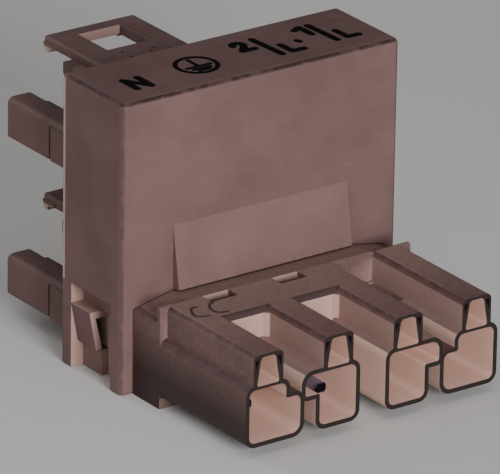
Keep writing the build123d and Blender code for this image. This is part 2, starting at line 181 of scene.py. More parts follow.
def relief(tree, shader, height, depth_mm, edge_mm):
    """Fine relief on edges that the light sees as slightly rounded."""
    edge = tree.nodes.new("ShaderNodeBevel")
    edge.samples = BEVEL_SAMPLES
    edge.inputs["Radius"].default_value = edge_mm * MM
    bump = tree.nodes.new("ShaderNodeBump")
    bump.inputs["Distance"].default_value = depth_mm * MM
    feed(tree, bump.inputs["Height"], height)
    feed(tree, bump.inputs["Normal"], edge.outputs[0])
    feed(tree, shader.inputs["Normal"], bump.outputs[0])


print("ready for surfaces: noise, relief with", BEVEL_SAMPLES, "samples an edge")

# %% [markdown]
# Some effects belong only to certain places: the inside of a tube, the tops, the edges. A painted map
# could say where. Here a mask does, a value that is 1 in such a place and 0 elsewhere. It is made from
# the position of a point or from the way its face looks, so it stays sharp at any distance.

# %% Masks from places and directions
MOSTLY, NEARLY = 0.7, 0.9    # how far a face's normal has to lie along an axis


def split_up(tree, vector):
    """The X, Y and Z of a position or a direction."""
    node = tree.nodes.new("ShaderNodeSeparateXYZ")
    feed(tree, node.inputs[0], vector)
    return node.outputs[:3]


def within(tree, value, low_mm, high_mm):
    """1 between two places along an axis, 0 outside them."""
    node = tree.nodes.new("ShaderNodeMath")
    node.operation = "COMPARE"
    feed(tree, node.inputs[0], value)
    node.inputs[1].default_value = (low_mm + high_mm) / 2 * MM
    node.inputs[2].default_value = (high_mm - low_mm) / 2 * MM
    return node.outputs[0]


def facing(tree, way):
    """1 on faces that look the way the plug points, sideways or up."""
    normal = tree.nodes.new("ShaderNodeNewGeometry").outputs["True Normal"]
    aside, along, rise = split_up(tree, normal)
    if way == "plug":
        return maths(tree, "LESS_THAN", along, -MOSTLY)
    if way == "side":
        return maths(tree, "GREATER_THAN", maths(tree, "ABSOLUTE", aside), MOSTLY)
    return maths(tree, "GREATER_THAN", rise, NEARLY)


print("ready for masks: split_up, within, facing")

# %% [markdown]
# The four poles stand at an even pitch, so one rule can serve them all. Folding a coordinate with an
# absolute value lays two halves of the part over each other, and folding twice lays all four poles
# together. What is then measured is the distance from the middle of the nearest pole.

# %% Fold the four poles together
POLE_PITCH = 10.0
INNER_POLE, OUTER_POLE = POLE_PITCH / 2, 1.5 * POLE_PITCH


def from_pole(tree, x):
    """How far a place is from the middle of the nearest pole."""
    from_pair = maths(tree, "SUBTRACT", maths(tree, "ABSOLUTE", x), POLE_PITCH * MM)
    from_one = maths(tree, "SUBTRACT", maths(tree, "ABSOLUTE", from_pair), INNER_POLE * MM)
    return maths(tree, "ABSOLUTE", from_one)


print("poles stand", INNER_POLE, "and", OUTER_POLE, "mm from the middle, on both sides")

# %% [markdown]
# The housings are injection moulded polyamide. Inside the tubes and the slots above them the plastic is
# painted pale, as painted light that fills the tubes. Two boxes describe each kind of tube: its body and
# the lobe at its side that keeps a wrong pole out. The lobes of the outer poles are low and point inwards,
# those of the inner poles are high and point outwards. A slot narrows towards its top, so its half width
# is worked out from the height. Each box reaches a little past the walls, so that they are in it.

# %% Inside the tubes and the slots
HAIR = 0.05    # from the end of a box to a wall that is just inside it, or just outside
TUBE_HALF, LOBE_REACH = 2.7, 4.7
TUBE_LENGTH = 17.0
TUBE_BOTTOM, TUBE_TOP = 1.7, 8.6
LOW_LOBE_TOP, HIGH_LOBE_BOTTOM = 6.6, 5.8
TUBE_BOXES = [
    (OUTER_POLE - TUBE_HALF, OUTER_POLE + TUBE_HALF, TUBE_BOTTOM, TUBE_TOP),
    (OUTER_POLE - LOBE_REACH, OUTER_POLE + TUBE_HALF, TUBE_BOTTOM, LOW_LOBE_TOP),
    (INNER_POLE - TUBE_HALF, INNER_POLE + TUBE_HALF, TUBE_BOTTOM, TUBE_TOP),
    (INNER_POLE - TUBE_HALF, INNER_POLE + LOBE_REACH, HIGH_LOBE_BOTTOM, TUBE_TOP),
]
SLOT_BOTTOM, SLOT_TOP = 8.85, 12.45
SLOT_HALF, SLOT_TAPER = 1.68, 0.6


# This mask says where the tubes and slots get their painted light.
def inside_tubes(tree, where):
    """1 on the inner walls of the tubes and of the slots in the hoods."""
    x, y, z = split_up(tree, where)
    folded = maths(tree, "ABSOLUTE", x)
    found = 0.0
    for low_x, high_x, low_z, high_z in TUBE_BOXES:
        box = times(tree, within(tree, folded, low_x, high_x), within(tree, z, low_z, high_z))
        found = maths(tree, "MAXIMUM", box, found)
    taper = between(tree, z, SLOT_BOTTOM * MM, SLOT_TOP * MM)
    slot_half = maths(tree, "SUBTRACT", SLOT_HALF * MM, times(tree, taper, SLOT_TAPER * MM))
    beside_middle = maths(tree, "LESS_THAN", from_pole(tree, x), slot_half)
    in_slot = times(tree, beside_middle, within(tree, z, SLOT_BOTTOM - HAIR, SLOT_TOP + HAIR))
    deep = within(tree, y, PLUG_END + HAIR, PLUG_END + TUBE_LENGTH)
    return times(tree, maths(tree, "MAXIMUM", found, in_slot), deep)


print("tubes start at y =", round(PLUG_END, 2), "mm and are", TUBE_LENGTH, "mm long")

# %% [markdown]
# Other places get painted light as well, each in its own degree: the walls between the tubes, the
# catches, the core-outs behind the sprung arms, and a strip of painted highlight on the rim behind the
# cover. A list is the clearest way to hold them. Each row can be read, changed or taken out without
# touching the graph that is made from it. Most places come in pairs, on either side of the part's middle
# or of the latch plates' middle. The catches and guides come twice, once on each level of sockets, so a
# loop adds them.

# %% The list of places with painted light
LATCH_X = round(sum(corner.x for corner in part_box("earth_pin")) / 2 / MM, 2)
TUBE_SPAN = (PLUG_END + HAIR, DECK_FRONT)
HOOD_SPAN = (PLUG_END + HAIR, DECK_FLAT + 0.1)
CATCH_SPAN = (BACK_Y + 13, BACK_Y + 17.3)
GUIDE_SPAN = (BACK_Y - 0.1, BACK_Y + 9)
OPENING_END = BACK_Y - 1.3
OPENING_SPAN = (FACE_Y + LEG_DEPTH, OPENING_END)
# How pale, the middle of the pair, then from-to across, along and in height, and the way the face looks.
# Each row paints a pale colour as painted light. The rim behind the cover gets a painted highlight.
PAINTED_LIGHT_PLACES = {
    "ramp on the cover": (0.045, 0, (0, 12.7), (FACE_Y - 1.4, FACE_Y - 0.01), (12.2, 20.3), None),
    "rim behind the cover": (0.55, 0, (19.9, 20.1), (BACK_Y - 0.02, BACK_Y + 0.5), (11.05, 37), None),
    "windows of the latch plates": (0.4, LATCH_X, (0, 3.2), (BACK_Y + 10, BACK_Y + 15.5), (13, 35), "plug"),
    "slots in the deck": (0.35, LATCH_X, (3, 7), (DECK_FLAT - 0.1, DECK_FLAT + 0.1), (9, 12.75), "plug"),
    "wall below the deck": (0.55, 0, (0, 14), (DECK_FRONT - 0.6, DECK_FRONT + 0.1), (1, 12.0), "plug"),
    "walls between the middle tubes": (0.95, 0, (0, 8), TUBE_SPAN, (1.0, 8.6), "side"),
    "walls beside the outer tubes": (0.75, 0, (8, 17.7), TUBE_SPAN, (1.0, 8.6), "side"),
    "roofs of the tubes": (0.24, 0, (0, 17.0), TUBE_SPAN, (7.6, 9.1), None),
    "foot of the block": (0.13, 0, (0, 18.2), (BLOCK_FRONT - 0.1, BLOCK_FRONT + 0.1), (-0.1, 1.3), "plug"),
    "sides of the hoods": (0.36, 0, (0, 17.0), HOOD_SPAN, (8.6, 12.1), "side"),
    "posts in the side openings": (0.4, 0, (16.5, 19.9), (FACE_Y + 5, OPENING_END), (0, 11), "plug"),
    "sides of the block": (0.12, 0, (18.0, 18.3), OPENING_SPAN, (0, 11), "side"),
    "core-outs of the block": (0.7, 0, (17.0, 17.3), OPENING_SPAN, (0, 11), "side"),
    "tops of the sprung arms": (0.35, 0, (17.0, 19.96), OPENING_SPAN, (8.3, 8.5), "up"),
}
for level, rise in SOCKET_LEVELS.items():
    catch_heights, guide_heights = (12.3 + rise, 13.08 + rise), (8.7 + rise, 13.12 + rise)
    PAINTED_LIGHT_PLACES[level + " catches"] = (0.6, LATCH_X, (3, 7), CATCH_SPAN, catch_heights, None)
    PAINTED_LIGHT_PLACES[level + " guides"] = (0.12, LATCH_X, (6.5, 7.9), GUIDE_SPAN, guide_heights, None)
print("pale places:", len(PAINTED_LIGHT_PLACES), "on either side of x =", LATCH_X, "or of the middle")

# %% [markdown]
# Each row becomes a box-shaped mask, and where boxes meet, the paler one counts. The plug's tops are
# a case of their own: they get more painted light little by little towards the cover, where its shade falls.

# %% A mask from the list
# Painted light on the plug's tops, lifting the shade near the cover.
TOPS_LIGHTENED = 0.21
LOWEST_TOP = 11


def painted_light_places(tree, where):
    """How much painted light the places in the list get, and the plug's tops towards the cover."""
    x, y, z = split_up(tree, where)
    found = 0.0
    for amount, middle, across, along, height, way in PAINTED_LIGHT_PLACES.values():
        folded = maths(tree, "ABSOLUTE", maths(tree, "SUBTRACT", x, middle * MM))
        box = times(tree, within(tree, folded, *across), within(tree, y, *along), within(tree, z, *height))
        if way:
            box = times(tree, box, facing(tree, way))
        found = maths(tree, "MAXIMUM", times(tree, box, amount), found)
    on_tops = times(tree, facing(tree, "up"), within(tree, z, LOWEST_TOP, DECK_Z + 0.01))
    towards_cover = between(tree, y, PLUG_END * MM, FACE_Y * MM)
    tops = times(tree, on_tops, within(tree, y, PLUG_END, FACE_Y), towards_cover, TOPS_LIGHTENED)
    return maths(tree, "MAXIMUM", found, tops)


print("tops between", LOWEST_TOP, "and", DECK_Z, "mm turn paler by up to", TOPS_LIGHTENED)

# %% [markdown]
# The end faces of the rims at the plug's mouth are painted almost black, as painted shade, and the small
# core-outs beside the slots get the same painted shade because they are narrow and deep.

# %% Painted shade on the rims at the plug's mouth
RIM_LENGTH = 3.2
CORE_OUT_SIDES = (1.2, 1.9)
CORE_OUT_HEIGHTS = (10.6, 12.3)


def rims(tree, where):
    """1 where painted shade goes: the end faces of the plug and the small core-outs beside the slots."""
    x, y, z = split_up(tree, where)
    near_mouth = maths(tree, "LESS_THAN", y, (PLUG_END + RIM_LENGTH) * MM)
    end_faces = times(tree, facing(tree, "plug"), near_mouth)
    beside_slot = within(tree, from_pole(tree, x), *CORE_OUT_SIDES)
    outside_slot = maths(tree, "SUBTRACT", 1.0, inside_tubes(tree, where))
    core_outs = times(tree, beside_slot, within(tree, z, *CORE_OUT_HEIGHTS), near_mouth, outside_slot)
    return maths(tree, "MAXIMUM", end_faces, core_outs)


print("dark rims reach to y =", round(PLUG_END + RIM_LENGTH, 2), "mm")

# %% [markdown]
# The rounded edges are painted darker, in uneven patches, as painted shade on the roundings. An edge
# could be found with a pointiness node, but that needs a dense mesh. The CAD roundings are real faces,
# and what sets them apart is that their smooth normals lean between two directions. That is read from
# the normal: on a level edge it leans between upright and level, on an upright edge it has a share both
# across and along the part.

# %% Painted shade on the rounded edges
COVER_EDGE, OTHER_EDGE, UPRIGHT_EDGE = 0.95, 0.55, 0.5    # how much painted shade each kind of edge gets
THINNEST_SHADE = 0.5    # the share of that where the painted shade is thinnest
LEVEL_FADE_IN, LEVEL_FADE_OUT = (0.3, 0.6), (0.97, 0.9)    # of how far up the normal points
UPRIGHT_FADE_IN = (0.2, 0.45)    # of its share across times its share along


def shaded_edges(tree, where):
    """How much painted shade the roundings of the cover and the plug get."""
    aside, along, rise = split_up(tree, tree.nodes.new("ShaderNodeNewGeometry").outputs["Normal"])
    level_edge = times(tree, between(tree, rise, *LEVEL_FADE_IN), between(tree, rise, *LEVEL_FADE_OUT))
    corner = times(tree, maths(tree, "ABSOLUTE", aside), maths(tree, "ABSOLUTE", along))
    upright_edge = times(tree, between(tree, corner, *UPRIGHT_FADE_IN), UPRIGHT_EDGE)
    y, z = split_up(tree, where)[1:]
    on_cover_top = maths(tree, "GREATER_THAN", z, (TOP_Z - 1) * MM)
    strength = maths(tree, "ADD", OTHER_EDGE, times(tree, on_cover_top, COVER_EDGE - OTHER_EDGE))
    patchy = between(tree, noise(tree, where, per_mm=0.8), 0.35, 0.6)
    uneven = maths(tree, "ADD", THINNEST_SHADE, times(tree, patchy, 1 - THINNEST_SHADE))
    before_sockets = maths(tree, "LESS_THAN", y, (BACK_Y - 0.1) * MM)
    edges = maths(tree, "MAXIMUM", times(tree, level_edge, strength), upright_edge)
    return times(tree, edges, uneven, before_sockets)


print("the cover's upper edges keep", COVER_EDGE, "of the grime, other level edges", OTHER_EDGE)

# %% [markdown]
# The deck's front edge is painted evenly dark, as painted shade on its rounding. It is short and
# straight, so a box round it is enough. The box ends just below the deck's level top, which stays as it
# is.

# %% Painted shade on the deck's front edge
# Painted shade on the deck's front edge.
DECK_EDGE_SHADE = 0.8
DECK_EDGE_DEPTH = (DECK_FRONT - 0.02, DECK_FRONT + 0.72)
DECK_EDGE_HEIGHT = (12.06, DECK_Z - 0.01)
DECK_EDGE_WIDTH = (0.5 - OUTER_POLE, INNER_POLE - 0.5)


def deck_edge_shade(tree, where):
    """How much painted shade the deck's front edge gets, between the first three hoods."""
    x, y, z = split_up(tree, where)
    on_rounding = times(tree, within(tree, y, *DECK_EDGE_DEPTH), within(tree, z, *DECK_EDGE_HEIGHT))
    return times(tree, on_rounding, within(tree, x, *DECK_EDGE_WIDTH), DECK_EDGE_SHADE)


print("the deck's front edge is at y =", round(DECK_FRONT, 2), "mm")

# %% [markdown]
# The outside of the housing is a dull brown. Its colour drifts a little where the melt cooled at
# different rates. The cover is painted darker towards its top. Large clouds mix two browns, and a third,
# darker one comes through in patches.

# %% The plastic's outside
LIGHT_BROWN = (0.172, 0.100, 0.095, 1)
MIDDLE_BROWN = (0.138, 0.079, 0.075, 1)
DARK_BROWN = (0.10, 0.058, 0.056, 1)
PATCHES_SHOW, TOP_DARKENS = 0.18, 0.16
housing, tree, shader, where = new_finish("housing_plastic")
along, height = split_up(tree, where)[1:]
cloud = noise(tree, where, per_mm=0.12, detail=3)
outside = blend(tree, between(tree, cloud, 0.35, 0.65), MIDDLE_BROWN, LIGHT_BROWN)
patches = between(tree, noise(tree, where, per_mm=0.4, detail=3), 0.52, 0.72)
outside = blend(tree, times(tree, patches, PATCHES_SHOW), outside, DARK_BROWN)
towards_top = between(tree, height, 14 * MM, 36 * MM)
outside = blend(tree, times(tree, towards_top, TOP_DARKENS), outside, DARK_BROWN)
print("outside colours mixed:", len(tree.nodes), "nodes")

# %% [markdown]
# Handling leaves short pale scuffs and a few dark specks, and the plug, which slides in and out of
# sockets, is mottled all over. Each is a noise of its own size. A narrow range of it, high up, gives
# few and small spots, and a range about the middle gives many.

# %% Scuffs, specks and mottling
PALE_SCUFF, DARK_SPECK = (0.26, 0.16, 0.148, 1), (0.03, 0.02, 0.02, 1)
PALE_MOTTLE, DARK_MOTTLE = (0.23, 0.136, 0.128, 1), (0.085, 0.049, 0.047, 1)
MOTTLE_SHOWS, SCUFFS_SHOW, SPECKS_SHOW = 0.2, 0.14, 0.5
on_plug = maths(tree, "LESS_THAN", along, (FACE_Y - HAIR) * MM)
on_tubes = times(tree, on_plug, within(tree, height, 0, DECK_Z + 0.1))
mottle = between(tree, noise(tree, where, per_mm=1.5), 0.38, 0.62)
mottle_colour = blend(tree, mottle, DARK_MOTTLE, PALE_MOTTLE)
mottled = blend(tree, times(tree, on_tubes, MOTTLE_SHOWS), outside, mottle_colour)
scuffs = between(tree, noise(tree, where, per_mm=0.5, stretch=(1, 1, 5)), 0.63, 0.72)
scuffed = blend(tree, times(tree, scuffs, SCUFFS_SHOW), mottled, PALE_SCUFF)
specks = between(tree, noise(tree, where, per_mm=1.3, detail=1), 0.76, 0.80)
specked = blend(tree, times(tree, specks, SPECKS_SHOW), scuffed, DARK_SPECK)
print("scuffs and specks added:", len(tree.nodes), "nodes")

# %% [markdown]
# The plug is painted darker low down, as painted shade where little light reaches it, and the rounded
# edges and the deck's front edge get their painted shade. Each layer covers the one before it by the
# amount that its mask gives.

# %% Painted shade low on the plug and on the edges
# Painted shade: darker low on the plug and on the rounded edges.
LOW_SHADE, EDGE_SHADE_COLOUR = (0.036, 0.021, 0.020, 1), (0.03, 0.018, 0.018, 1)
LOW_SHADE_SHOWS, LOW_SHADE_TOP, LOW_SHADE_FULL = 0.92, 9.9, 3.9
low_plug_shade = times(tree, on_plug, between(tree, height, LOW_SHADE_TOP * MM, LOW_SHADE_FULL * MM), LOW_SHADE_SHOWS)
with_painted_shade = blend(tree, low_plug_shade, specked, LOW_SHADE)
edge_shade_amount = maths(tree, "MAXIMUM", shaded_edges(tree, where), deck_edge_shade(tree, where))
with_painted_shade = blend(tree, edge_shade_amount, with_painted_shade, EDGE_SHADE_COLOUR)
print("grime added:", len(tree.nodes), "nodes")

# %% [markdown]
# Painted light shows as a pale colour at the listed places. Between them the change has to be soft, and
# an occlusion node gives that: it reads how much of the sky a point can see, so recesses are painted
# paler the deeper they are, as painted light. The rims' painted shade comes last, over all else.

# %% Painted light in the recesses
# The pale colour is painted light in the recesses and tubes. The near-black is painted shade on the rims.
PAINTED_LIGHT_COLOUR, RIM_SHADE_COLOUR = (0.75, 0.51, 0.425, 1), (0.018, 0.012, 0.011, 1)
SHELTER_REACH, SHELTER_SHOWS, SHELTER_SAMPLES = 8.0, 0.25, 16
SHELTER_STARTS, SHELTER_FULL = 0.52, 0.26    # shares of the sky that a point can see


def recess_light(tree):
    """0 on open faces, rising to 1 deep in a recess."""
    node = tree.nodes.new("ShaderNodeAmbientOcclusion")
    node.samples = SHELTER_SAMPLES
    node.only_local = True
    node.inputs["Distance"].default_value = SHELTER_REACH * MM
    return between(tree, node.outputs["AO"], SHELTER_STARTS, SHELTER_FULL)


before_openings = maths(tree, "LESS_THAN", along, (FACE_Y + LEG_DEPTH) * MM)
below_deck = between(tree, height, (DECK_Z - 0.7) * MM, (DECK_Z - 1.1) * MM)
recess_light_amount = times(tree, recess_light(tree), before_openings, below_deck, SHELTER_SHOWS)
placed = maths(tree, "MAXIMUM", inside_tubes(tree, where), painted_light_places(tree, where))
with_painted_light = blend(tree, maths(tree, "MAXIMUM", recess_light_amount, placed), with_painted_shade, PAINTED_LIGHT_COLOUR)
feed(tree, shader.inputs["Base Color"], blend(tree, rims(tree, where), with_painted_light, RIM_SHADE_COLOUR))
print("all colours of the plastic mixed:", len(tree.nodes), "nodes")

# %% [markdown]
# The mould's surface was sparked, which leaves a fine matte grain on the plastic. The same fine noise
# drives the gloss and the relief, so they agree, and the scuffs are a little smoother than the rest.

# %% Grain and gloss of the plastic
BASE_ROUGH, GRAIN_ROUGHENS, SCUFFS_SMOOTHEN, PLASTIC_SHINE = 0.5, 0.16, 0.1, 0.22
grain = noise(tree, where, per_mm=9)
rough = maths(tree, "ADD", BASE_ROUGH, times(tree, grain, GRAIN_ROUGHENS))
rough = maths(tree, "SUBTRACT", rough, times(tree, scuffs, SCUFFS_SMOOTHEN))
feed(tree, shader.inputs["Roughness"], rough)
shader.inputs["Specular IOR Level"].default_value = PLASTIC_SHINE
relief(tree, shader, grain, depth_mm=0.012, edge_mm=0.14)
print("housing plastic has", len(tree.nodes), "nodes")

# %% [markdown]
# The strips are stamped from brass sheet. Rolling leaves faint lines along the sheet, and the brass
# darkens a little with age. Pins and clips are tin plated so that they don't corrode where they touch.
# A noise that changes twelve times as fast across the sheet as along it gives the lines.

# %% The metals
LINES_ROUGHEN = 0.15


def sheet_metal(name, light, dark, smoothest):
    """Rolled sheet with faint lines along its length."""
    material, tree, shader, where = new_finish(name)
    lines = noise(tree, where, per_mm=0.8, detail=3, stretch=(12, 1, 1))
    feed(tree, shader.inputs["Base Color"], blend(tree, between(tree, lines, 0.3, 0.7), dark, light))
    shader.inputs["Metallic"].default_value = 1.0
    rough = maths(tree, "ADD", smoothest, times(tree, lines, LINES_ROUGHEN))
    feed(tree, shader.inputs["Roughness"], rough)
    relief(tree, shader, lines, depth_mm=0.004, edge_mm=0.05)
    return material


brass = sheet_metal("rolled_brass", (0.72, 0.50, 0.20, 1), (0.55, 0.36, 0.13, 1), smoothest=0.25)
pin_metal = sheet_metal("tinned_pin", (0.62, 0.66, 0.88, 1), (0.42, 0.44, 0.62, 1), smoothest=0.45)
clip_metal = sheet_metal("tinned_spring_sheet", (0.60, 0.59, 0.60, 1), (0.42, 0.41, 0.43, 1), smoothest=0.28)
print("metals:", brass.name, pin_metal.name, clip_metal.name)

# %% [markdown]
# The end of each pin is painted almost black. The generated coordinate runs from 0 at the tip of a pin
# to 1 at its root, whatever the pin's length, so one finish serves all four.

# %% The black ends of the pins
# The pin ends are painted almost black.
BLACK_END_COLOUR = (0.012, 0.010, 0.013, 1)
TINNED_FROM, BLACK_TO = 0.022, 0.006    # as shares of a pin's length
tree = pin_metal.node_tree
shader = tree.nodes["Principled BSDF"]
along_pin = split_up(tree, tree.nodes.new("ShaderNodeTexCoord").outputs["Generated"])[1]
black = between(tree, along_pin, TINNED_FROM, BLACK_TO)
tinned = shader.inputs["Base Color"].links[0].from_socket
feed(tree, shader.inputs["Base Color"], blend(tree, black, tinned, BLACK_END_COLOUR))
print("rubbed ends added to", pin_metal.name)

# %% [markdown]
# The name of each piece ends in what it is: a housing, a cover, a busbar, a pin or a clip. That last
# word picks the finish, so no piece can be forgotten.

# %% Give each CAD piece its finish
finish_of = {"housing": housing, "cover": housing, "busbar": brass, "pin": pin_metal, "clip": clip_metal}
for name, piece in nodes.items():
    piece.data.materials.clear()
    piece.data.materials.append(finish_of[name.split("_")[-1]])
print("finishes given to", len(nodes), "pieces")

# %% [markdown]
# The marks on the cover's top are pad printed in thick black ink. Text objects would give a printer's
# letters, but these are drawn with a pen of one width, so each is a set of strokes with round ends. The
# first function gives the outline of a stroke along a path.

# %% The outline of a stroke
CAP_STEPS = 8
SHARPEST_TURN = 0.5    # cosine of half a turn: sharper corners are cut short, not drawn to a point


def round_end(centre, heading, width):
    """Points round the end of a stroke."""
    angle = math.atan2(heading.y, heading.x)
    turns = [angle + math.pi / 2 - math.pi * k / CAP_STEPS for k in range(1, CAP_STEPS)]
    return [centre + Vector((math.cos(t), math.sin(t))) * width / 2 for t in turns]


def stroke_outline(path, width):
    """The outline of a stroke along a path, with round ends."""
    points = [Vector(p) for p in path]
    headings = [(b - a).normalized() for a, b in zip(points, points[1:])]
    left, right = [], []
    for i, point in enumerate(points):
        before, after = headings[max(i - 1, 0)], headings[min(i, len(headings) - 1)]
        middle = (before + after).normalized()
        reach = width / 2 / max(middle.dot(after), SHARPEST_TURN)
        side = Vector((-middle.y, middle.x)) * reach
        left.append(point + side)
        right.append(point - side)
    far_end = round_end(points[-1], headings[-1], width)
    near_end = round_end(points[0], -headings[0], width)
    return left + far_end + right[::-1] + near_end


print("a stroke of two points has", len(stroke_outline([(0, 0), (1, 0)], 0.5)), "corners")

# %% [markdown]
# Ink is thin, but it has a height that catches the light at its edge. Each outline becomes a closed
# solid on the surface: a ring of walls, a top and a bottom. Where strokes of one mark overlap, each is
# a hair higher than the one before, so that no two tops lie in the same plane and flicker.

# %% Solids from outlines
def corners_at(mesh, outline, z):
    """The corners of an outline at one height."""
    return [mesh.verts.new((x * MM, y * MM, z * MM)) for x, y in outline]


def band(mesh, ring, other):
    """Faces between two rings that have the same number of corners."""
    for i in range(len(ring)):
        j = (i + 1) % len(ring)
        mesh.faces.new((ring[i], ring[j], other[j], other[i]))


def raised_shape(name, outlines, base_z, height, rise=0.0):
    """Flat solids on a level surface, each a little higher. A second outline in a pair is a hole."""
    mesh = bmesh.new()
    for outer, hole in outlines:
        height += rise
        low, high = (corners_at(mesh, outer, z) for z in (base_z, base_z + height))
        band(mesh, low, high)
        if hole:
            low_hole, high_hole = (corners_at(mesh, hole, z) for z in (base_z, base_z + height))
            band(mesh, high_hole, low_hole)
            band(mesh, high, high_hole)
            band(mesh, low_hole, low)
        else:
            mesh.faces.new(high)
            mesh.faces.new(low[::-1])
    bmesh.ops.recalc_face_normals(mesh, faces=mesh.faces)
    data = bpy.data.meshes.new(name)
    mesh.to_mesh(data)
    mesh.free()
    piece = bpy.data.objects.new(name, data)
    bpy.context.scene.collection.objects.link(piece)
    return piece


print("ready for solids: corners_at, band, raised_shape")

# %% [markdown]
# The ink is almost black and matte. Where little of it reached the plastic it is starved, which shows as
# small greyer spots.

# %% The ink
STARVED_INK, FULL_INK = (0.012, 0.010, 0.010, 1), (0.002, 0.002, 0.002, 1)
STARVED_ROUGH, FULL_INK_ROUGHENS, INK_SHINE = 0.5, 0.15, 0.05
ink, tree, shader, where = new_finish("printing_ink")
full = between(tree, noise(tree, where, per_mm=6, detail=3), 0.25, 0.45)
feed(tree, shader.inputs["Base Color"], blend(tree, full, STARVED_INK, FULL_INK))
rough = maths(tree, "ADD", STARVED_ROUGH, times(tree, full, FULL_INK_ROUGHENS))
feed(tree, shader.inputs["Roughness"], rough)
shader.inputs["Specular IOR Level"].default_value = INK_SHINE
print("ink has", len(tree.nodes), "nodes")

# %% [markdown]
# The marks say which pole is which: N for the neutral, then the second and the first line, with a dot
# between them. Their paths were read against the edges of the cover's top, so that they sit where the
# photo shows them and at its slightly uneven slants. X is counted from the middle of the top, Y from
# its front edge.

# %% The paths of the pole marks
BROAD_PEN, DOT_PEN = 0.95, 0.85
TWO_CURVE = [(1.62, 8.5), (1.85, 8.95), (2.35, 9.15), (2.85, 8.95), (3.05, 8.45), (2.8, 7.85), (1.75, 6.6)]
POLE_MARKS = {
    "neutral_mark": (BROAD_PEN, [
        [(-15.5, 3.5), (-15.5, 6.5)], [(-15.5, 6.5), (-13.5, 3.45)], [(-13.5, 3.45), (-13.5, 6.45)],
    ]),
    "second_line_mark": (BROAD_PEN, [
        TWO_CURVE, [(1.75, 6.6), (3.5, 6.6)], [(4.8, 9.1), (5.2, 3.4)],
        [(6.65, 5.85), (6.75, 3.5)], [(6.75, 3.5), (8.4, 3.45)],
    ]),
    "first_line_mark": (BROAD_PEN, [
        [(10.75, 8.75), (11.8, 9.3)], [(11.8, 9.3), (11.9, 6.75)], [(13.1, 9.25), (13.35, 3.65)],
        [(14.9, 6.15), (15.0, 3.7)], [(15.0, 3.7), (16.55, 3.7)],
    ]),
    "dot_between_lines": (DOT_PEN, [[(9.15, 5.95), (9.25, 5.55)]]),
}
print("strokes in the pole marks:", sum(len(strokes) for pen, strokes in POLE_MARKS.values()))

# %% [markdown]
# A pad print is laid on last, so the marks are pieces of their own on the finished cover. They ride on
# the part's only body, as all that is fixed to it does.

# %% Print the pole marks
INK_HEIGHT = 0.02
INK_RISE = 0.002


def printed_mark(name, strokes, width):
    """One printed mark. Its paths are measured from the middle and the front edge of the cover's top."""
    outlines = [(stroke_outline([(x, y + FACE_Y) for x, y in path], width), None) for path in strokes]
    piece = raised_shape(name, outlines, TOP_Z, INK_HEIGHT, INK_RISE)
    piece.data.materials.append(ink)
    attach(piece, "root")
    return piece


pole_marks = [printed_mark(name, strokes, pen) for name, (pen, strokes) in POLE_MARKS.items()]
print("marks printed:", [piece.name for piece in pole_marks])

# %% [markdown]
# The earth pole has the protective earth sign: a stem on three bars that get shorter, in a ring. The
# ring is a solid with a hole, made from two circles. The sign inside it uses the same strokes, and they
# are counted from the ring's middle, because the sign is the same on both sides of its stem.

# %% The earth sign in its ring
EARTH_X, EARTH_Y = -5.4, 5.95
RING_OUTER, RING_INNER = 2.82, 2.22
FINE_PEN = 0.55
STEM_TOP, STEM_END = 1.8, -0.45
BARS = [(1.65, -0.47), (1.2, -1.17), (0.7, -1.75)]    # half the width of each and its place
earth_strokes = [[(EARTH_X, EARTH_Y + STEM_TOP), (EARTH_X, EARTH_Y + STEM_END)]]
for half, bar_y in BARS:
    earth_strokes.append([(EARTH_X - half, EARTH_Y + bar_y), (EARTH_X + half, EARTH_Y + bar_y)])


def circle_points(x, y, radius, count=64):
    """Points round a circle."""
    turns = [math.tau * k / count for k in range(count)]
    return [(x + radius * math.cos(turn), y + radius * math.sin(turn)) for turn in turns]


ring_outline, ring_hole = (circle_points(EARTH_X, EARTH_Y + FACE_Y, r) for r in (RING_OUTER, RING_INNER))
ring = raised_shape("earth_ring", [(ring_outline, ring_hole)], TOP_Z, INK_HEIGHT)
ring.data.materials.append(ink)
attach(ring, "root")
earth_sign = printed_mark("earth_sign", earth_strokes, FINE_PEN)
print(earth_sign.name, "stands in a ring", round(ring.dimensions.x / MM, 2), "mm wide")

# %% [markdown]
# Small traces of moulding are left on the part. They are painted a dull dark brown with streaks, as
# painted shade along the traces, and rougher than the plastic.

# %% Painted shade along such traces
# Painted shade along the moulding traces.
DEEP_TRACE_SHADE, LIGHT_TRACE_SHADE = (0.025, 0.015, 0.015, 1), (0.055, 0.034, 0.032, 1)
TRACE_SHADE_ROUGH = 0.75
painted_shade, tree, shader, where = new_finish("painted_trace_shade")
streaks = between(tree, noise(tree, where, per_mm=2.5), 0.3, 0.7)
feed(tree, shader.inputs["Base Color"], blend(tree, streaks, DEEP_TRACE_SHADE, LIGHT_TRACE_SHADE))
shader.inputs["Roughness"].default_value = TRACE_SHADE_ROUGH
print("grime has", len(tree.nodes), "nodes")

# %% [markdown]
# Two crescents stand on the deck beside the neutral hood, where round inserts met the plastic. They are
# curved strokes. A few points set the curve, and a spline that passes through all of them fills in the
# rest, which takes fewer numbers than a dense path and bends more evenly.

# %% Crescents on the deck
CRESCENT_WIDTH, CRESCENT_HEIGHT = 0.26, 0.08
CRESCENTS = {
    "crescent_left": [
        (-14.35, -7.36), (-14.85, -7.3), (-15.35, -7.75), (-15.9, -8.9),
        (-15.85, -9.6), (-15.4, -10.0), (-14.5, -10.25),
    ],
    "crescent_right": [
        (-11.8, -7.2), (-12.35, -7.35), (-12.9, -7.95), (-13.32, -9.0),
        (-13.2, -9.8), (-12.75, -10.2), (-12.0, -10.4),
    ],
}


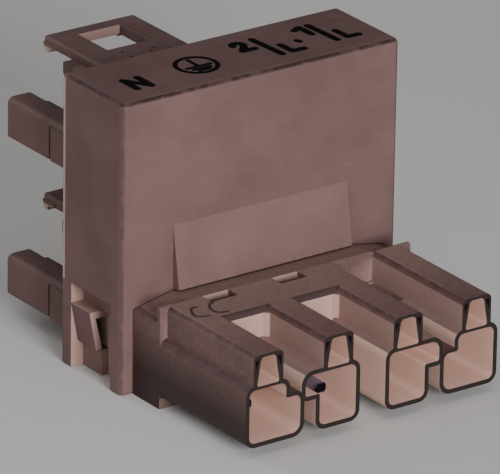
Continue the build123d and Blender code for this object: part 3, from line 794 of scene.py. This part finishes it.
def curve_through(points, steps=6):
    """A smooth path through a few points."""
    path = []
    last = len(points) - 1
    for i in range(last):
        a, b, c, d = (Vector(points[max(0, min(k, last))]) for k in (i - 1, i, i + 1, i + 2))
        for k in range(steps):
            t = k / steps
            bend = (2 * a - 5 * b + 4 * c - d) * t**2 + (3 * b - a - 3 * c + d) * t**3
            path.append(0.5 * (2 * b + (c - a) * t + bend))
    return path + [Vector(points[-1])]


def moulding_trace(name, paths, width, base_z, height, finish):
    """Low strokes on a level surface. Their paths are measured from the middle and the cover's front."""
    outlines = [(stroke_outline([(x, y + FACE_Y) for x, y in path], width), None) for path in paths]
    piece = raised_shape(name, outlines, base_z, height)
    piece.data.materials.append(finish)
    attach(piece, "root")
    return piece


traces = []
# Each crescent is a low raised stroke in the painted shade of the traces.
for name, points in CRESCENTS.items():
    arc = curve_through(points)
    traces.append(moulding_trace(name, [arc], CRESCENT_WIDTH, DECK_Z, CRESCENT_HEIGHT, painted_shade))
print("crescents:", [piece.name for piece in traces])

# %% [markdown]
# Each latch plate has a witness line along its window, where two halves of the mould met, and a few pips
# beside it. They are drawn with the same strokes, on both levels of sockets.

# %% A line and pips on the latch plates
LOWER_PLATE_Z = 14.3
WITNESS_LINE = [(-1.4, 17.0), (-1.4, 26.4)]
LINE_WIDTH, LINE_HEIGHT = 0.14, 0.05
PIPS = [(-6.95, 19.05), (-6.93, 17.3), (-3.86, 17.6), (-2.9, 18.3)]
PIP_LENGTH, PIP_WIDTH, PIP_HEIGHT = 0.12, 0.22, 0.06
pip_paths = [[(x, y), (x + PIP_LENGTH, y)] for x, y in PIPS]
for level, rise in SOCKET_LEVELS.items():
    name, plate_z = level + "_plate_marks", LOWER_PLATE_Z + rise
    line = moulding_trace(name + "_line", [WITNESS_LINE], LINE_WIDTH, plate_z, LINE_HEIGHT, housing)
    # The pips take the painted shade of the traces as well.
    pips = moulding_trace(name + "_pips", pip_paths, PIP_WIDTH, plate_z, PIP_HEIGHT, painted_shade)
    traces += [line, pips]
print("moulding traces:", [piece.name for piece in traces])

# %% [markdown]
# The part stands on a plain pale table. A large plane is enough, with a faint cloudiness so that it
# doesn't look like a computer's even grey.

# %% The table
TABLE_WIDTH = 4.0
TABLE_GREY, TABLE_PALE = (0.66, 0.65, 0.64, 1), (0.70, 0.69, 0.68, 1)
TABLE_ROUGH = 0.8
bpy.ops.mesh.primitive_plane_add(size=TABLE_WIDTH, location=(0, 0, 0))
table = bpy.context.object
table.name = "table"
table_finish, tree, shader, where = new_finish("pale_table")
feed(tree, shader.inputs["Base Color"], blend(tree, noise(tree, where, per_mm=0.02), TABLE_GREY, TABLE_PALE))
shader.inputs["Roughness"].default_value = TABLE_ROUGH
table.data.materials.append(table_finish)
table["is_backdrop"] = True
print("table is", round(table.dimensions.x, 1), "m wide")

# %% [markdown]
# The light is that of a photo tent: soft from all sides, with one side stronger. The key lamp is in
# front, near the camera, so it shines into the tubes and gives the front faces their brightness. A weak
# lamp at the left, one behind and one overhead lift the sides and the tops, and an even grey world
# fills the rest. Square area lamps give the soft shadows.

# %% Lamps and surroundings
# Place and size in mm, then watts.
LAMPS = {
    "key": ((-105, -450, 130), 180, 2.5),
    "left_fill": ((-450, -60, 150), 220, 0.17),
    "back": ((-160, 420, 200), 250, 0.6),
    "overhead": ((-60, -80, 600), 400, 0.5),
}
AIM = Vector((0, 0, 15)) * MM
WORLD_COLOUR, WORLD_STRENGTH = (0.75, 0.74, 0.74, 1), 0.2


def lamp(name, place_mm, size_mm, watts):
    """A soft square lamp that points at the part."""
    light = bpy.data.lights.new(name, "AREA")
    light.size = size_mm * MM
    light.energy = watts
    holder = bpy.data.objects.new(name, light)
    holder.location = [v * MM for v in place_mm]
    holder.rotation_euler = (AIM - holder.location).to_track_quat("-Z", "Y").to_euler()
    bpy.context.scene.collection.objects.link(holder)
    holder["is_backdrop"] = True
    return holder


lamps = [lamp(name, *settings) for name, settings in LAMPS.items()]
world = bpy.data.worlds.new("studio")
world.use_nodes = True
background = world.node_tree.nodes["Background"]
background.inputs["Color"].default_value = WORLD_COLOUR
background.inputs["Strength"].default_value = WORLD_STRENGTH
bpy.context.scene.world = world
print("lamps:", [one.name for one in lamps])

# %% [markdown]
# The camera's place was solved from the photo: its straight edges meet where a long lens would put
# them, from 36 degrees to the left and 23 degrees up. The same numbers set the camera here. Three
# directions make its matrix: across the picture, up in the picture and back towards the camera.

# %% The photo's view
AZIMUTH, ELEVATION, ROLL = math.radians(35.733), math.radians(22.575), math.radians(0.901)
level_back = Vector((-math.sin(AZIMUTH), -math.cos(AZIMUTH), 0)) * math.cos(ELEVATION)
back = level_back + Vector((0, 0, math.sin(ELEVATION)))
right = Vector((0, 0, 1)).cross(back).normalized()
up = back.cross(right)
across_picture = right * math.cos(ROLL) + up * math.sin(ROLL)
up_picture = up * math.cos(ROLL) - right * math.sin(ROLL)
print("the picture looks along", [round(-v, 3) for v in back])

# %% [markdown]
# A camera could be turned by three angles. A matrix takes the directions as they are, so there is no
# order of turns to mind: they are its columns, and it is then moved to the camera's place. The clipping
# range starts well before the part and ends far behind it.

# %% Set up the camera
CAMERA_PLACE = Vector((-464.92, -644.09 + FACE_Y, 346.10)) * MM
LENS_MM, SENSOR_MM = 523.77, 36.0
NEAREST, FARTHEST = 0.01, 20.0
lens = bpy.data.cameras.new("photo_camera")
lens.sensor_fit = "HORIZONTAL"
lens.sensor_width = SENSOR_MM
lens.lens = LENS_MM
lens.clip_start, lens.clip_end = NEAREST, FARTHEST
camera = bpy.data.objects.new("photo_camera", lens)
bpy.context.scene.collection.objects.link(camera)
turn = Matrix((across_picture, up_picture, back)).transposed().to_4x4()
camera.matrix_world = Matrix.Translation(CAMERA_PLACE) @ turn
bpy.context.scene.camera = camera
print("camera is", round(camera.location.length, 3), "m away")

# %% [markdown]
# A dressed part has to keep the size of its CAD model. Its box is measured again, and the change from
# the box at load is printed: only the ink may stand a hair higher.

# %% Note the size again and finish
size_at_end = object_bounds()
change = [round((b - a) / MM, 3) for p, q in zip(size_at_load, size_at_end) for a, b in zip(p, q)]
print("size changed by", change, "mm")
